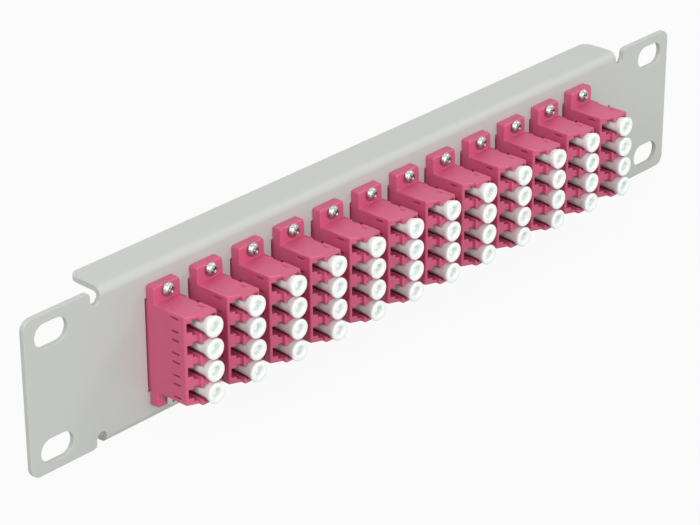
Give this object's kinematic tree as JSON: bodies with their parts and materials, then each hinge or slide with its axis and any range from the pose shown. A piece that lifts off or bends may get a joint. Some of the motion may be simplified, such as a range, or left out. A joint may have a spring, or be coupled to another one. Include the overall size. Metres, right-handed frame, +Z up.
{
  "type": "fibre patch panel",
  "caption": "Narrow rack panel of folded light grey sheet with slotted ears, carrying a row of pink-violet four-port fibre adapters closed by white pull-out dust caps.",
  "frame": {"origin": "middle of the four rack slots, on the rear face of the ears, which seats on the rack's rails", "axes": "+X along the panel, to the right as seen from the front; the front and its ports face -Y; +Z up"},
  "size_m": [0.254, 0.0339, 0.0436],
  "materials": {
    "panel_paint": "light grey powder coat, fine texture",
    "adapter_plastic": "moulded pink-violet plastic, satin",
    "cap_plastic": "white moulded soft plastic",
    "sleeve_ceramic": "ground white ceramic",
    "screw_steel": "bright zinc plate"
  },
  "bodies": {
    "panel_body": {"panel": "panel_paint", "adapter_screws": "screw_steel", "sleeve_holders": "adapter_plastic", "alignment_sleeves": "sleeve_ceramic", "adapter_01_housing": "adapter_plastic", "adapter_01_cover": "adapter_plastic", "adapter_02_housing": "adapter_plastic", "adapter_02_cover": "adapter_plastic", "adapter_03_housing": "adapter_plastic", "adapter_03_cover": "adapter_plastic", "adapter_04_housing": "adapter_plastic", "adapter_04_cover": "adapter_plastic", "adapter_05_housing": "adapter_plastic", "adapter_05_cover": "adapter_plastic", "adapter_06_housing": "adapter_plastic", "adapter_06_cover": "adapter_plastic", "adapter_07_housing": "adapter_plastic", "adapter_07_cover": "adapter_plastic", "adapter_08_housing": "adapter_plastic", "adapter_08_cover": "adapter_plastic", "adapter_09_housing": "adapter_plastic", "adapter_09_cover": "adapter_plastic", "adapter_10_housing": "adapter_plastic", "adapter_10_cover": "adapter_plastic", "adapter_11_housing": "adapter_plastic", "adapter_11_cover": "adapter_plastic", "adapter_12_housing": "adapter_plastic", "adapter_12_cover": "adapter_plastic"},
    "front_caps_01": {"adapter_01_front_caps": "cap_plastic"},
    "rear_caps_01": {"adapter_01_rear_caps": "cap_plastic"},
    "front_caps_02": {"adapter_02_front_caps": "cap_plastic"},
    "rear_caps_02": {"adapter_02_rear_caps": "cap_plastic"},
    "front_caps_03": {"adapter_03_front_caps": "cap_plastic"},
    "rear_caps_03": {"adapter_03_rear_caps": "cap_plastic"},
    "front_caps_04": {"adapter_04_front_caps": "cap_plastic"},
    "rear_caps_04": {"adapter_04_rear_caps": "cap_plastic"},
    "front_caps_05": {"adapter_05_front_caps": "cap_plastic"},
    "rear_caps_05": {"adapter_05_rear_caps": "cap_plastic"},
    "front_caps_06": {"adapter_06_front_caps": "cap_plastic"},
    "rear_caps_06": {"adapter_06_rear_caps": "cap_plastic"},
    "front_caps_07": {"adapter_07_front_caps": "cap_plastic"},
    "rear_caps_07": {"adapter_07_rear_caps": "cap_plastic"},
    "front_caps_08": {"adapter_08_front_caps": "cap_plastic"},
    "rear_caps_08": {"adapter_08_rear_caps": "cap_plastic"},
    "front_caps_09": {"adapter_09_front_caps": "cap_plastic"},
    "rear_caps_09": {"adapter_09_rear_caps": "cap_plastic"},
    "front_caps_10": {"adapter_10_front_caps": "cap_plastic"},
    "rear_caps_10": {"adapter_10_rear_caps": "cap_plastic"},
    "front_caps_11": {"adapter_11_front_caps": "cap_plastic"},
    "rear_caps_11": {"adapter_11_rear_caps": "cap_plastic"},
    "front_caps_12": {"adapter_12_front_caps": "cap_plastic"},
    "rear_caps_12": {"adapter_12_rear_caps": "cap_plastic"}
  },
  "joints": [
    {"name": "front_caps_01_pull", "type": "slide", "parent": "panel_body", "child": "front_caps_01", "axis": [0, -1, 0], "range_m": [0, 0.012]},
    {"name": "rear_caps_01_pull", "type": "slide", "parent": "panel_body", "child": "rear_caps_01", "axis": [0, 1, 0], "range_m": [0, 0.012]},
    {"name": "front_caps_02_pull", "type": "slide", "parent": "panel_body", "child": "front_caps_02", "axis": [0, -1, 0], "range_m": [0, 0.012]},
    {"name": "rear_caps_02_pull", "type": "slide", "parent": "panel_body", "child": "rear_caps_02", "axis": [0, 1, 0], "range_m": [0, 0.012]},
    {"name": "front_caps_03_pull", "type": "slide", "parent": "panel_body", "child": "front_caps_03", "axis": [0, -1, 0], "range_m": [0, 0.012]},
    {"name": "rear_caps_03_pull", "type": "slide", "parent": "panel_body", "child": "rear_caps_03", "axis": [0, 1, 0], "range_m": [0, 0.012]},
    {"name": "front_caps_04_pull", "type": "slide", "parent": "panel_body", "child": "front_caps_04", "axis": [0, -1, 0], "range_m": [0, 0.012]},
    {"name": "rear_caps_04_pull", "type": "slide", "parent": "panel_body", "child": "rear_caps_04", "axis": [0, 1, 0], "range_m": [0, 0.012]},
    {"name": "front_caps_05_pull", "type": "slide", "parent": "panel_body", "child": "front_caps_05", "axis": [0, -1, 0], "range_m": [0, 0.012]},
    {"name": "rear_caps_05_pull", "type": "slide", "parent": "panel_body", "child": "rear_caps_05", "axis": [0, 1, 0], "range_m": [0, 0.012]},
    {"name": "front_caps_06_pull", "type": "slide", "parent": "panel_body", "child": "front_caps_06", "axis": [0, -1, 0], "range_m": [0, 0.012]},
    {"name": "rear_caps_06_pull", "type": "slide", "parent": "panel_body", "child": "rear_caps_06", "axis": [0, 1, 0], "range_m": [0, 0.012]},
    {"name": "front_caps_07_pull", "type": "slide", "parent": "panel_body", "child": "front_caps_07", "axis": [0, -1, 0], "range_m": [0, 0.012]},
    {"name": "rear_caps_07_pull", "type": "slide", "parent": "panel_body", "child": "rear_caps_07", "axis": [0, 1, 0], "range_m": [0, 0.012]},
    {"name": "front_caps_08_pull", "type": "slide", "parent": "panel_body", "child": "front_caps_08", "axis": [0, -1, 0], "range_m": [0, 0.012]},
    {"name": "rear_caps_08_pull", "type": "slide", "parent": "panel_body", "child": "rear_caps_08", "axis": [0, 1, 0], "range_m": [0, 0.012]},
    {"name": "front_caps_09_pull", "type": "slide", "parent": "panel_body", "child": "front_caps_09", "axis": [0, -1, 0], "range_m": [0, 0.012]},
    {"name": "rear_caps_09_pull", "type": "slide", "parent": "panel_body", "child": "rear_caps_09", "axis": [0, 1, 0], "range_m": [0, 0.012]},
    {"name": "front_caps_10_pull", "type": "slide", "parent": "panel_body", "child": "front_caps_10", "axis": [0, -1, 0], "range_m": [0, 0.012]},
    {"name": "rear_caps_10_pull", "type": "slide", "parent": "panel_body", "child": "rear_caps_10", "axis": [0, 1, 0], "range_m": [0, 0.012]},
    {"name": "front_caps_11_pull", "type": "slide", "parent": "panel_body", "child": "front_caps_11", "axis": [0, -1, 0], "range_m": [0, 0.012]},
    {"name": "rear_caps_11_pull", "type": "slide", "parent": "panel_body", "child": "rear_caps_11", "axis": [0, 1, 0], "range_m": [0, 0.012]},
    {"name": "front_caps_12_pull", "type": "slide", "parent": "panel_body", "child": "front_caps_12", "axis": [0, -1, 0], "range_m": [0, 0.012]},
    {"name": "rear_caps_12_pull", "type": "slide", "parent": "panel_body", "child": "rear_caps_12", "axis": [0, 1, 0], "range_m": [0, 0.012]}
  ]
}
